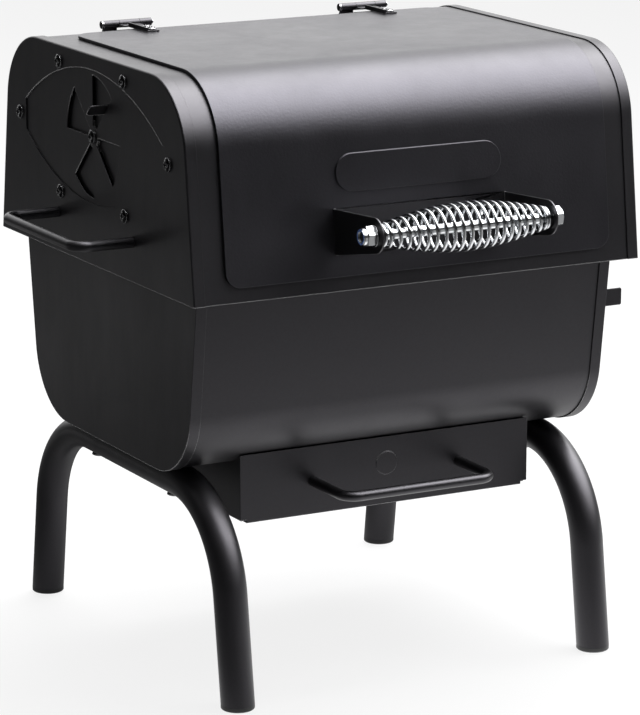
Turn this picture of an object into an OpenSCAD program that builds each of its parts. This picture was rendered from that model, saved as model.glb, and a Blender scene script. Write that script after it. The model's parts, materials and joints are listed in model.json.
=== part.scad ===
// Portable charcoal grill: sheet-steel tub and hood, top-hinged lid, spring-grip handle,
// rotary vent, ash drawer, sliding air intake and two bent-tube legs.
// X runs to the right seen from the front, Y to the back, Z up. The ground is z = 0.

/* [Hood] */
// Width of the hood over its two end caps
hood_w = 460; // [440:1:480]
// Half depth of the hood at its lower edge
hood_half_d = 208.3; // [205:0.1:215]
// Height of the hood's lower edge above the ground
hood_z0 = 372.9; // [370:0.1:380]
// Height of the hood alone
hood_h = 195.5; // [190:0.5:205]
// Inward lean of the hood's front and back, mm per mm of height
hood_lean = 0.117; // [0.10:0.001:0.13]
// Radius of the two long top bends
hood_r = 70; // [64:1:74]
// Width of the rim that wraps each hood end round the sheet
hood_rim = 11.7; // [9:0.1:14]

/* [Tub] */
// Width of the tub over its end caps
tub_w = 430; // [416:1:434]
// Half depth of the tub at its top
tub_half_d = 184.1; // [181:0.1:186]
// Height of the tub's underside above the ground
tub_z0 = 200.3; // [198:0.1:204]
// Inward lean of the tub's sides, mm per mm of depth
tub_lean = 0.131; // [0.12:0.001:0.14]
// Radius of the two long bottom bends
tub_r = 71.4; // [66:0.1:75]
// Width of the rim that wraps each tub end round the sheet
tub_rim = 11; // [9:0.5:12]

/* [Sheet] */
// Thickness of the pressed steel sheet
sheet_t = 1.2; // [1:0.1:1.5]
// Gap left between two sheets that lie on each other
lay_gap = 0.05; // [0.03:0.01:0.1]

/* [Lid] */
// Half width of the lid panel
lid_half_w = 197.9; // [194:0.1:200]
// How far the lid's outside stands off the hood's rim
lid_proud = 2; // [1.5:0.1:2.5]
// Height of the lid's lower edge above the hood's lower edge
lid_low = 13.7; // [12:0.1:16]
// Radius of the lid's two lower corners
lid_corner = 14; // [8:1:18]
// Where the lid ends at the back
lid_back = 113; // [112:1:116]
// Radius of the lid's two rear corners
lid_rear_corner = 20; // [16:1:24]

/* [Hinges] */
// Distance from the middle to each hinge
hinge_x = 128; // [115:1:135]
// Depth of the hinge line
hinge_y = 139; // [138:0.5:140]
// Height of the hinge line above the hood's top
hinge_up = 4.1; // [4:0.1:4.5]
// Length of one hinge along its pin
hinge_len = 50; // [48:1:54]
// Outer diameter of the rolled knuckles
knuckle_d = 7.5; // [7:0.1:7.8]
// Diameter of the hinge pin
pin_d = 4; // [3.6:0.1:4.2]

/* [Lid handle] */
// Width of the handle bracket
bracket_w = 178; // [170:1:190]
// Height of the bracket's back plate
bracket_h = 41.5; // [38:0.5:46]
// Distance of the grip's axis from the lid
grip_out = 74.5; // [70:0.5:80]
// Thickness of the bracket
bracket_t = 1.8; // [1.5:0.1:2]
// Number of turns in the spring grip
grip_turns = 22; // [18:1:24]
// Widest outer diameter of the spring grip
grip_d = 45; // [40:1:48]
// Outer diameter of the spring grip at its ends
grip_end_d = 21; // [20:1:24]
// Diameter of the spring wire
wire_d = 3.2; // [2.8:0.1:3.4]

/* [Vent] */
// Height of the vent's centre above the ground
vent_z = 492.5; // [490:0.5:494]
// Outer radius of the vent openings
vent_r = 57; // [54:1:58]
// Turn of the damper from shut to open
vent_turn = 40; // [30:1:40]

/* [Carrying handles] */
// Height of the carrying handles above the ground
carry_z = 410; // [405:1:416]
// How far a carrying handle stands out from the hood's end
carry_out = 55; // [50:1:60]
// Half the spacing of a carrying handle's two ends
carry_half = 81; // [76:1:84]
// Diameter of the handle rod
rod_d = 10; // [9:0.5:11]

/* [Legs] */
// Outer diameter of the leg tube
leg_d = 31; // [30:0.5:32]
// Wall thickness of the leg tube
leg_wall = 1.5; // [1.2:0.1:2]
// Distance from the middle to each leg
leg_x = 188; // [186:0.5:188]
// Half the spacing of a leg's two feet
foot_half = 209; // [204:1:216]
// Outward splay of the legs, degrees
leg_splay = 8; // [6:0.5:9]
// Bend radius of the leg tube's centre line
leg_bend = 99; // [92:1:104]

/* [Drawer] */
// Half width of the drawer's front plate
drawer_half_w = 152; // [151:0.5:154]
// Height of the front plate's lower edge above the ground
drawer_z0 = 150.8; // [150:0.1:152]
// Depth position of the front plate's outer face
drawer_y = -141.8; // [-143:0.1:-141.6]
// How far the drawer pulls out
drawer_travel = 240; // [150:10:240]

/* [Air intake] */
// Travel of the intake shutter from shut to open
intake_travel = 30; // [26:1:30]

/* [Hidden] */
$fn = 64;
e = 0.5;
// The tub's middle lies this far behind the middle of the whole grill's footprint
frame_y = 36.5;
hood_x1 = hood_w / 2;
tub_x1 = tub_w / 2;
hood_top = hood_z0 + hood_h;
inner_lay = sheet_t + lay_gap;
rim_rise = 7.2;
tub_z1 = hood_z0 + rim_rise;
tub_h = tub_z1 - tub_z0;
hood_phi = atan(hood_lean);
tub_phi = atan(tub_lean);
shell_half_x = hood_x1 - sheet_t - lay_gap;

// Where hood and tub are clamped together
tub_rim_z = tub_z1 - sheet_t;
hood_lip_z = tub_z1 + 0.1;
lip_w = 14;
lip_reach = 204;
lip_half_y = 178;
rim_bolt_x = 150;
rim_bolt_y = 196;

// Small fasteners: [shank diameter, head diameter, head height]
m5_pan = [5, 10, 3.2];
m6_pan = [6, 13, 3.8];
m8_low = [8, 14, 3.2];
clear = 0.3;
thread_fit = 0.06;

// Lid
door_half_w = 185;
door_low = 25;
door_back = 109.6;
lid_lip = 0.7;
panel_half_w = 85;
panel_h = 34;
panel_u = 106;
panel_proud = 2;

// Hinge
hinge_z = hood_top + hinge_up;
pin_gap = 0.06;
leaf_t = 1.6;
arm_w = 12;
arm_dx = 4;
arm_end_y = 88;
arm_flange = 4.5;
lid_knuckle = [-8.8, 12.4];
knuckle_gap = 0.2;
arm_holes = [93.6, 104];
hood_leaf_w = 46;
hood_leaf_r = hood_r - inner_lay + lay_gap;
hood_leaf_angles = [16, 52];
hood_screw_angle = 38;
hood_screw_dx = 15;

// Lid handle
bracket_u = 54.3;
nose_u = 55.5;
nose_r = 16;
m10_af = 17;
m10_head = 8.7;
m10_nut = 12;
nut_hex = 8.5;
nut_collar_d = 15.4;
crown = 14;
washer_t = 1.6;
washer_d = 20;
grip_bolt_d = 10;
bracket_screw_x = 60;
spring_gap = 0.6;
closed_turns = 1.5;
coil_gap = 0.15;

// Vent cover and damper
lens_half_y = 148;
lens_half_z = 62;
lens_side = 15;
cover_x = hood_x1 - sheet_t - lay_gap;
cover_t = 1.2;
vent_inner_r = 10;
wedge = 45;
damper_r = 62;
damper_gap = 2;
damper_x = cover_x - cover_t - damper_gap;
damper_t = 1.2;
hub_r = 12;
tab_angle = wedge + 2.5;
tab_r = [33, 46.5];
tab_out = 22;
tab_t = 1.2;
vent_tab_r = 4;
pivot_gap = 0.08;
cover_screws_yz = [[69.5, 60.5], [-69.5, 60.5], [69.5, -61.5], [-69.5, -61.5], [160, 0], [-160, 0]];

// Carrying handles
carry_y0 = -4;
carry_bend = 14;

// Legs
leg_y0 = 2;
leg_r = leg_d / 2;
leg_z = tub_z0 + inner_lay - leg_r - lay_gap;
leg_bolt_y = 82;
leg_lap = 1.5;
leg_step = 0.02;
cap_floor = 4.5;
cap_edge = 1.2;
cap_stem = 14;
cap_fit = 0.1;

// Drawer and chute
chute_half_w = 150;
chute_y = 134;
runner_z = drawer_z0 + 1.6;
runner_w = 10;
tray_half_w = 146;
tray_y1 = 124;
tray_z0 = runner_z + sheet_t + 0.3;
tray_z1 = 196;
tray_t = 1;
front_top = 215;
front_step = [6.5, 3.2];
pull_half = 77;
pull_z = 182;
pull_out = 65;
pull_d = 9.5;
pull_bend = 14;
boss_r = 11;
boss_z = 190;
ash_hole = [250, 160];
chute_flange = 15;
chute_screw = [157, 60];

// Grates
grate_top = 372;
grate_half_y = 172;
bar_w = 7;
bar_h = 9;
cook_pitch = 16;
cook_gaps = 11;
coal_ledge_z = 264;
cook_ledge_z = 361;
ledge_w = 16;
ledge_up = 12;
ledge_half_x = 190;
coal_half_x = 200;
coal_pitch = 20;

// Air intake shutter
shutter_y = [-167.6, 42];
shutter_z = [299, 337];
intake_hole_r = 11;
intake_holes_y = [-110, -50, 10];
intake_z = 313;
guide_z = 330;
guides_y = [-92, -2];
intake_tab_z = [320, 336.6];
intake_tab_r = 2;
intake_tab_out = 22;

BLACK = [0.09, 0.09, 0.1];
STEEL = [0.75, 0.76, 0.78];
IRON = [0.2, 0.2, 0.2];
PLASTIC = [0.05, 0.05, 0.05];

// ---- shared shapes ----

// Moves a finished piece from the tub's middle to the common frame.
module placed() {
  translate([0, frame_y, 0]) children();
}

// Section of a trough, open edge at 0 and flat side at h, with true round corners.
module trough(half, lean, h, r, inset, below = 0) {
  phi = atan(lean);
  reach = half * cos(phi) - inset;
  rr = r - inset;
  hh = h - inset;
  yc = (reach - rr - (hh - rr) * sin(phi)) / cos(phi);
  side = [yc + rr * cos(phi), hh - rr + rr * sin(phi)];
  edge = (reach + below * sin(phi)) / cos(phi);
  polygon([[-edge, -below], [edge, -below], side, [yc, hh], [-yc, hh], [-side[0], side[1]]]);
  for (s = [-1, 1])
    translate([s * yc, hh - rr]) circle(r = rr, $fn = 128);
}

module hood_section(inset, below = 0) {
  trough(hood_half_d, hood_lean, hood_h, hood_r, inset, below);
}

module tub_section(inset, below = 0) {
  trough(tub_half_d, tub_lean, tub_h, tub_r, inset, below);
}

// Stretches a y-z section along X from x0 to x1.
module along_x(x0, x1) {
  translate([x0, 0, 0]) rotate([90, 0, 90]) linear_extrude(x1 - x0) children();
}

module in_hood() {
  translate([0, 0, hood_z0]) children();
}

module in_tub() {
  translate([0, 0, tub_z1]) mirror([0, 0, 1]) children();
}

// Puts a part on the lid's sloping front: z runs up the slope, -y points away from the lid.
module on_lid() {
  translate([0, -hood_half_d - lid_proud / cos(hood_phi), hood_z0]) rotate([-hood_phi, 0, 0]) children();
}

// Box between two corners.
module block(a, b) {
  translate(a) cube([b[0] - a[0], b[1] - a[1], b[2] - a[2]]);
}

module both_y() {
  children();
  mirror([0, 1, 0]) children();
}

// Screw with a domed, cross-slotted head on +z and its shank going down to -z.
module pan_screw(size, len) {
  dome = size[2] * 0.6;
  ball = (pow(size[1] / 2, 2) + dome * dome) / (2 * dome);
  slot = size[1] * 0.54;
  slot_w = size[1] * 0.17;
  slot_z = size[2] * 0.35;
  difference() {
    intersection() {
      cylinder(d = size[1], h = size[2]);
      translate([0, 0, size[2] - ball]) sphere(r = ball, $fn = 96);
    }
    for (a = [0, 90])
      rotate([0, 0, a]) translate([-slot / 2, -slot_w / 2, slot_z]) cube([slot, slot_w, size[2]]);
  }
  translate([0, 0, -len]) cylinder(d = size[0], h = len + 0.2);
}

// Hexagon nut or bolt head, standing on z = 0.
module hexagon(af, h, bore = 0) {
  difference() {
    cylinder(d = af / cos(30), h = h, $fn = 6);
    if (bore > 0)
      translate([0, 0, -e]) cylinder(d = bore, h = h + 2 * e);
  }
}

// Nut that sits on a screw of diameter d.
module nut(af, h, d) {
  hexagon(af, h, d + 2 * thread_fit);
}

// Point where a line from p touches the circle of radius r round c.
function touch(p, c, r, side) =
  let (v = p - c, a = atan2(v[1], v[0]) + side * acos(r / norm(v)))
  c + r * [cos(a), sin(a)];

// Inside half depth of the tub at height z.
function tub_inside(z) =
  let (
    r = tub_r - inner_lay - sheet_t,
    zc = tub_z0 + tub_r,
    yc = (tub_half_d * cos(tub_phi) - tub_r - (tub_h - tub_r) * sin(tub_phi)) / cos(tub_phi)
  )
  z > zc + r * sin(tub_phi)
    ? tub_half_d - tub_lean * (tub_z1 - z) - (inner_lay + sheet_t) / cos(tub_phi)
    : yc + sqrt(r * r - pow(zc - z, 2));

// U-shaped rod: two ends at (0, +-half), standing out along +x by out.
module u_rod(half, out, bend, d, bore, bore_depth) {
  difference() {
    union() {
      for (s = [-1, 1]) {
        translate([0, s * half, 0]) rotate([0, 90, 0]) cylinder(d = d, h = out - bend);
        translate([out - bend, s * (half - bend), 0])
          rotate([0, 0, s > 0 ? 0 : -90])
            rotate_extrude(angle = 90) translate([bend, 0]) circle(d = d);
      }
      translate([out, -half + bend, 0]) rotate([-90, 0, 0]) cylinder(d = d, h = 2 * (half - bend));
    }
    for (s = [-1, 1])
      translate([-e, s * half, 0]) rotate([0, 90, 0]) cylinder(d = bore, h = bore_depth + e);
  }
}

// ---- tub ----

module tub_shell() {
  rim_half_x = tub_x1 - tub_rim - e;
  shell_x = tub_x1 - sheet_t - lay_gap;
  color(BLACK) placed() difference() {
    union() {
      in_tub() along_x(-shell_x, shell_x) difference() {
        tub_section(inner_lay);
        tub_section(inner_lay + sheet_t, e);
      }
      both_y() block([-rim_half_x, tub_half_d - 2, tub_rim_z], [rim_half_x, lip_reach, tub_z1]);
    }
    rim_bolt_holes();
    block([-ash_hole[0] / 2, -ash_hole[1] / 2, tub_z0 - e], [ash_hole[0] / 2, ash_hole[1] / 2, tub_z0 + 5]);
    leg_bolt_places() translate([0, 0, -e]) cylinder(d = 8 + 2 * clear, h = 80);
    chute_screw_places() cylinder(d = m5_pan[0] + 2 * clear, h = 30, center = true);
  }
}

module tub_end(side) {
  holes = side > 0 ? intake_holes_y : [];
  guides = side > 0 ? guides_y : [];
  color(BLACK) placed() difference() {
    mirror([side < 0 ? 1 : 0, 0, 0]) {
      in_tub() along_x(tub_x1 - sheet_t, tub_x1) tub_section(0);
      in_tub() along_x(tub_x1 - tub_rim, tub_x1) difference() {
        tub_section(0);
        tub_section(sheet_t, e);
      }
      block([tub_x1 - sheet_t, -lip_half_y, tub_rim_z], [hood_x1 - 3, lip_half_y, tub_z1]);
    }
    for (y = holes)
      translate([tub_x1, y, intake_z]) rotate([0, 90, 0]) cylinder(r = intake_hole_r, h = 20, center = true);
    for (y = guides)
      translate([tub_x1, y, guide_z]) rotate([0, 90, 0]) cylinder(d = 5 + 2 * clear, h = 20, center = true);
  }
}

module tub_end_left() {
  tub_end(-1);
}

module tub_end_right() {
  tub_end(1);
}

// ---- hood ----

module hood_shell() {
  lip_x = tub_x1 - 2;
  color(BLACK) placed() difference() {
    union() {
      in_hood() along_x(-shell_half_x, shell_half_x) difference() {
        hood_section(inner_lay);
        hood_section(inner_lay + sheet_t, e);
      }
      intersection() {
        both_y() block([-lip_x, lip_reach - lip_w, hood_lip_z], [lip_x, hood_half_d, hood_lip_z + sheet_t]);
        in_hood() along_x(-lip_x, lip_x) hood_section(inner_lay + e);
      }
    }
    block([-door_half_w, -hood_half_d - 5, hood_z0 + door_low], [door_half_w, door_back, hood_top + 5]);
    rim_bolt_holes();
    hood_leaf_screw_places(-hinge_x) cylinder(d = m5_pan[0] + 2 * clear, h = 20, center = true);
    hood_leaf_screw_places(hinge_x) cylinder(d = m5_pan[0] + 2 * clear, h = 20, center = true);
  }
}

module hood_end(side) {
  color(BLACK) placed() difference() {
    mirror([side < 0 ? 1 : 0, 0, 0]) {
      in_hood() along_x(hood_x1 - sheet_t, hood_x1) hood_section(0);
      in_hood() along_x(hood_x1 - hood_rim, hood_x1) difference() {
        hood_section(0);
        hood_section(sheet_t, e);
      }
      block([tub_x1 + 1, -lip_half_y, hood_lip_z], [hood_x1 - sheet_t, lip_half_y, hood_lip_z + sheet_t]);
    }
    carry_ends(side) cylinder(d = 6 + 2 * clear, h = 20, center = true);
    if (side < 0) {
      translate([-hood_x1 + 2 * sheet_t, 0, vent_z]) rotate([90, 0, -90])
        linear_extrude(4 * sheet_t) lens();
      cover_screw_places() cylinder(d = m6_pan[0] + 2 * clear, h = 20, center = true);
    }
  }
}

module hood_end_left() {
  hood_end(-1);
}

module hood_end_right() {
  hood_end(1);
}

// Lens outline: two long arcs cut off straight at the sides.
module lens() {
  rise = lens_half_z - lens_side;
  arc_r = (lens_half_y * lens_half_y + rise * rise) / (2 * rise);
  intersection() {
    translate([0, lens_half_z - arc_r]) circle(r = arc_r, $fn = 180);
    translate([0, arc_r - lens_half_z]) circle(r = arc_r, $fn = 180);
    square([2 * lens_half_y, 4 * lens_half_z], center = true);
  }
}

// ---- hood to tub bolts ----

module rim_bolt_places() {
  for (sx = [-1, 1], sy = [-1, 1])
    translate([sx * rim_bolt_x, sy * rim_bolt_y, 0]) children();
}

module rim_bolt_holes() {
  rim_bolt_places() translate([0, 0, tub_rim_z - 5]) cylinder(d = 6 + 2 * clear, h = 20);
}

module rim_bolts() {
  color(STEEL) placed() rim_bolt_places() translate([0, 0, tub_rim_z - 4]) {
    hexagon(10, 4);
    cylinder(d = 6, h = 14);
  }
}

module rim_nuts() {
  color(STEEL) placed() rim_bolt_places() translate([0, 0, hood_lip_z + sheet_t]) nut(10, 5, 6);
}

// ---- vent ----

module in_vent() {
  translate([0, 0, vent_z]) children();
}

module cover_screw_places() {
  for (p = cover_screws_yz)
    translate([-hood_x1, p[0], vent_z + p[1]]) rotate([0, -90, 0]) children();
}

// Sector from angle a to a + w, seen from the left end: 0 points to the front, 90 up.
module sector(a, w, r0, r1) {
  far = 2 * r1;
  intersection() {
    difference() {
      circle(r = r1);
      circle(r = r0);
    }
    polygon([[0, 0], for (t = [0, w / 2, w]) far * [cos(a + t), sin(a + t)]]);
  }
}

// Draws a flat shape on the left end: its x runs to the front, its y up, its thickness to +X.
module on_left_end(x, t) {
  translate([-x, 0, vent_z]) rotate([90, 0, -90]) translate([0, 0, -t]) linear_extrude(t) children();
}

module vent_cover() {
  corner = [172, 85];
  color(BLACK) placed() difference() {
    on_left_end(cover_x, cover_t) difference() {
      polygon([
        [-corner[0], -22], [-corner[1], -70], [corner[1], -70], [corner[0], -22],
        [corner[0], 22], [corner[1], 70], [-corner[1], 70], [-corner[0], 22]
      ]);
      for (a = [wedge:90:360])
        sector(a, wedge, vent_inner_r, vent_r);
      circle(d = 6 + 2 * clear);
    }
    cover_screw_places() cylinder(d = m6_pan[0] + 2 * clear, h = 20, center = true);
  }
}

module vent_disc() {
  slack = 1.5;
  tab_len = tab_out - damper_t;
  color(BLACK) placed() {
    on_left_end(damper_x, damper_t) difference() {
      circle(r = damper_r);
      for (a = [0:90:270])
        sector(a + slack, wedge - 2 * slack, hub_r + 3, vent_r - 1);
      circle(d = 6 + 2 * pivot_gap);
    }
    on_left_end(damper_x + damper_gap - lay_gap, damper_gap) difference() {
      circle(r = hub_r - 3);
      circle(d = 6 + 2 * pivot_gap);
    }
    in_vent() rotate([-tab_angle, 0, 0]) mirror([0, 1, 0])
      translate([-damper_x - tab_len, tab_r[0], -tab_t / 2])
        finger_tab(tab_len + 0.2, tab_r[1] - tab_r[0], tab_t, vent_tab_r);
  }
}

// Flat tab with its two outer corners, at x = 0, rounded to r.
module finger_tab(len, w, t, r) {
  block([r, 0, 0], [len, w, t]);
  block([0, r, 0], [r + 0.01, w - r, t]);
  for (y = [r, w - r])
    translate([r, y, 0]) cylinder(r = r, h = t);
}

module vent_pivot_screw() {
  color(STEEL) placed() translate([-cover_x - lay_gap, 0, vent_z]) rotate([0, -90, 0]) pan_screw(m6_pan, 14);
}

module vent_pivot_nut() {
  color(STEEL) placed() translate([-damper_x + damper_t + 0.2, 0, vent_z]) rotate([0, 90, 0]) nut(10, 5, 6);
}

module vent_cover_screws() {
  color(STEEL) placed() cover_screw_places() pan_screw(m6_pan, 12);
}

module vent_cover_nuts() {
  color(STEEL) placed() cover_screw_places() translate([0, 0, -2 * sheet_t - 2 * lay_gap - 5]) nut(10, 5, 6);
}

// ---- lid ----

// Front view of the lid: straight sides and round lower corners, shrunk all round by inset.
module lid_outline(inset) {
  half = lid_half_w - inset;
  low = hood_z0 + lid_low + inset;
  r = lid_corner - inset;
  difference() {
    translate([-half, low]) square([2 * half, hood_top + 20 - low]);
    for (s = [-1, 1])
      translate([s * half, low]) difference() {
        square(2 * r, center = true);
        translate([-s * r, r]) circle(r = r);
      }
  }
}

// The outline pushed through from front to back, with round rear corners seen from above.
module lid_prism(inset) {
  half = lid_half_w - inset;
  back = lid_back - inset;
  r = lid_rear_corner - inset;
  difference() {
    translate([0, back, 0]) rotate([90, 0, 0]) linear_extrude(back + 2 * hood_half_d) lid_outline(inset);
    for (s = [-1, 1])
      translate([s * half, back, hood_z0]) linear_extrude(2 * hood_h) difference() {
        square(2 * r, center = true);
        translate([-s * r, -r]) circle(r = r);
      }
  }
}

module lid_sheet(from, to) {
  in_hood() along_x(-lid_half_w - e, lid_half_w + e) difference() {
    hood_section(-from, e);
    hood_section(-to, 2 * e);
  }
}

module lid_panel() {
  skin = lid_proud - sheet_t;
  color(BLACK) placed() difference() {
    union() {
      intersection() {
        lid_sheet(lid_proud, skin);
        lid_prism(0);
      }
      intersection() {
        lid_sheet(skin + 0.01, -lid_lip);
        difference() {
          lid_prism(0);
          lid_prism(sheet_t);
        }
      }
      on_lid() raised_panel();
    }
    for (x = [-1, 1])
      on_lid() translate([x * bracket_screw_x, 0, bracket_u]) rotate([90, 0, 0])
        cylinder(d = m5_pan[0] + 2 * clear, h = 20, center = true);
    for (x = [-hinge_x, hinge_x])
      arm_screw_places(x) cylinder(d = m5_pan[0] + 2 * clear, h = 20, center = true);
  }
}

// Plain oblong with round ends, standing proud of the lid's front.
module raised_panel() {
  r = panel_h / 2;
  translate([0, 0.1, panel_u]) rotate([90, 0, 0]) linear_extrude(panel_proud + 0.1) {
    square([2 * (panel_half_w - r), panel_h], center = true);
    for (s = [-1, 1])
      translate([s * (panel_half_w - r), 0]) circle(r = r);
  }
}

// ---- hinges ----

module arm_screw_places(x) {
  for (y = arm_holes)
    translate([x + arm_dx, y, hood_top + lid_proud + leaf_t]) children();
}

module knuckle(x, from, to) {
  translate([x + from, hinge_y, hinge_z]) rotate([0, 90, 0]) difference() {
    cylinder(d = knuckle_d, h = to - from);
    translate([0, 0, -e]) cylinder(d = pin_d + 2 * pin_gap, h = to - from + 2 * e);
  }
}

// Lid leaf: a knuckle and a forward arm that is stiffened by a turned-up edge.
module hinge_lid_leaf(x) {
  z = hood_top + lid_proud + lay_gap;
  edge_x = x + arm_dx - arm_w / 2;
  color(BLACK) placed() {
    knuckle(x, lid_knuckle[0], lid_knuckle[1]);
    difference() {
      union() {
        block([x + lid_knuckle[0], hinge_y - 12, z], [x + lid_knuckle[1], hinge_y, z + leaf_t]);
        block([edge_x, arm_end_y, z], [edge_x + arm_w, hinge_y - 11, z + leaf_t]);
        block([edge_x - leaf_t, arm_end_y, z], [edge_x, hinge_y - 11, z + arm_flange]);
      }
      translate([x - hinge_len, hinge_y, hinge_z]) rotate([0, 90, 0])
        cylinder(d = knuckle_d - 1, h = 2 * hinge_len);
      arm_screw_places(x) cylinder(d = m5_pan[0] + 2 * clear, h = 20, center = true);
    }
  }
}

module hinge_lid_leaf_left() {
  hinge_lid_leaf(-hinge_x);
}

module hinge_lid_leaf_right() {
  hinge_lid_leaf(hinge_x);
}

// Centre of the hood's rear top bend.
function bend_y() =
  (hood_half_d * cos(hood_phi) - hood_r - (hood_h - hood_r) * sin(hood_phi)) / cos(hood_phi);
function bend_z() = hood_top - hood_r;

module hood_leaf_screw_places(x) {
  for (s = [-1, 1])
    translate([x + s * hood_screw_dx, bend_y(), bend_z()]) rotate([-hood_screw_angle, 0, 0])
      translate([0, 0, hood_leaf_r + leaf_t]) children();
}

// Leaf bent to lie on the hood's rear bend, with two knuckles on short webs.
module hinge_hood_leaf(x) {
  a = hood_leaf_angles;
  foot = hood_leaf_r + leaf_t / 2;
  web_y = bend_y() + foot * sin(a[0]);
  color(BLACK) placed() {
    difference() {
      union() {
        translate([0, bend_y(), bend_z()]) along_x(x - hood_leaf_w / 2, x + hood_leaf_w / 2) intersection() {
          difference() {
            circle(r = hood_leaf_r + leaf_t, $fn = 128);
            circle(r = hood_leaf_r, $fn = 128);
          }
          polygon([[0, 0], 120 * [sin(a[0]), cos(a[0])], 120 * [sin(a[1]), cos(a[1])]]);
        }
      }
      hood_leaf_screw_places(x) cylinder(d = m5_pan[0] + 2 * clear, h = 20, center = true);
    }
    left = [-hinge_len / 2, lid_knuckle[0] - knuckle_gap];
    right = [lid_knuckle[1] + knuckle_gap, hinge_len / 2];
    for (span = [left, right]) {
      knuckle(x, span[0], span[1]);
      hinge_web(max(x + span[0], x - hood_leaf_w / 2), min(x + span[1], x + hood_leaf_w / 2), web_y);
    }
  }
}

// Web from a knuckle's back down to the bent leaf.
module hinge_web(x0, x1, y) {
  z = bend_z() + sqrt(pow(hood_leaf_r + leaf_t / 2, 2) - pow(y + 4 - bend_y(), 2));
  along_x(x0, x1) polygon([
    [hinge_y + pin_d / 2 + 0.5, hinge_z - 1],
    [hinge_y + pin_d / 2 + 0.5, hinge_z + 1],
    [y + 4, z + 0.6],
    [y + 4, z - 0.2],
    [y, z + 0.9]
  ]);
}

module hinge_hood_leaf_left() {
  hinge_hood_leaf(-hinge_x);
}

module hinge_hood_leaf_right() {
  hinge_hood_leaf(hinge_x);
}

module hinge_pins() {
  head = 2;
  color(STEEL) placed() for (x = [-hinge_x, hinge_x])
    translate([x - hinge_len / 2 - head, hinge_y, hinge_z]) rotate([0, 90, 0]) {
      cylinder(d = pin_d, h = hinge_len + 2 * head);
      cylinder(d = knuckle_d, h = head - 0.1);
    }
}

module hinge_lid_screws() {
  color(STEEL) placed() for (x = [-hinge_x, hinge_x])
    arm_screw_places(x) translate([0, 0, 2 * lay_gap]) {
      pan_screw(m5_pan, 9);
      translate([0, 0, -leaf_t - sheet_t - 4.3]) nut(8, 4, 5);
    }
}

module hinge_hood_screws() {
  color(STEEL) placed() for (x = [-hinge_x, hinge_x])
    hood_leaf_screw_places(x) translate([0, 0, 0.1]) {
      pan_screw(m5_pan, 9);
      translate([0, 0, -leaf_t - sheet_t - 4.3]) nut(8, 4, 5);
    }
}

// ---- lid handle ----

module bracket_side() {
  c = [grip_out, nose_u];
  low = [0, bracket_u - bracket_h / 2];
  high = [0, bracket_u + bracket_h / 2];
  difference() {
    union() {
      polygon([low, touch(low, c, nose_r, 1), c, touch(high, c, nose_r, -1), high]);
      translate(c) circle(r = nose_r);
    }
    translate(c) circle(d = grip_bolt_d + 2 * clear);
  }
}

module handle_bracket() {
  half = bracket_w / 2;
  color(BLACK) placed() on_lid() difference() {
    union() {
      block(
        [-half, -bracket_t - lay_gap, bracket_u - bracket_h / 2],
        [half, -lay_gap, bracket_u + bracket_h / 2]
      );
      for (x = [-half, half - bracket_t])
        translate([x, -lay_gap, 0]) mirror([0, 1, 0]) along_x(0, bracket_t) bracket_side();
    }
    bracket_screw_places() cylinder(d = m5_pan[0] + 2 * clear, h = 20, center = true);
  }
}

module bracket_screw_places() {
  for (x = [-1, 1])
    translate([x * bracket_screw_x, -bracket_t - 2 * lay_gap, bracket_u]) rotate([90, 0, 0]) children();
}

module bracket_screws() {
  color(STEEL) placed() on_lid() bracket_screw_places() {
    pan_screw(m5_pan, 9);
    translate([0, 0, -bracket_t - sheet_t - 4.3]) nut(8, 4, 5);
  }
}

// Frame on the grip's axis, with local z along +X.
module on_grip() {
  on_lid() translate([0, -grip_out - lay_gap, nose_u]) rotate([0, 90, 0]) children();
}

// Hexagon of the grip's bolt whose outer corners are turned down to a shallow cone.
module crowned_hexagon(h) {
  intersection() {
    hexagon(m10_af, h);
    translate([0, 0, h - crown]) cylinder(r1 = m10_af / 2 + 2 * crown, r2 = m10_af / 2 - 0.4, h = crown);
  }
}

module handle_bolt() {
  seat = bracket_w / 2 + washer_t;
  color(STEEL) placed() on_grip() {
    translate([0, 0, seat]) rotate([0, 0, 12]) crowned_hexagon(m10_head);
    translate([0, 0, -seat - m10_nut + 1]) cylinder(d = grip_bolt_d, h = 2 * seat + m10_nut);
  }
}

module handle_nut() {
  color(STEEL) placed() on_grip()
    translate([0, 0, -bracket_w / 2 - washer_t]) mirror([0, 0, 1]) rotate([0, 0, 20]) difference() {
      union() {
        crowned_hexagon(nut_hex);
        cylinder(d = nut_collar_d, h = m10_nut - 0.8);
        cylinder(d = nut_collar_d - 1.6, h = m10_nut);
      }
      translate([0, 0, -e]) cylinder(d = grip_bolt_d + 2 * thread_fit, h = m10_nut + 2 * e);
    }
}

module handle_washers() {
  color(STEEL) placed() on_grip() for (z = [-bracket_w / 2 - washer_t, bracket_w / 2])
    translate([0, 0, z]) difference() {
      cylinder(d = washer_d, h = washer_t);
      translate([0, 0, -e]) cylinder(d = grip_bolt_d + 2 * clear, h = washer_t + 2 * e);
    }
}

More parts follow.
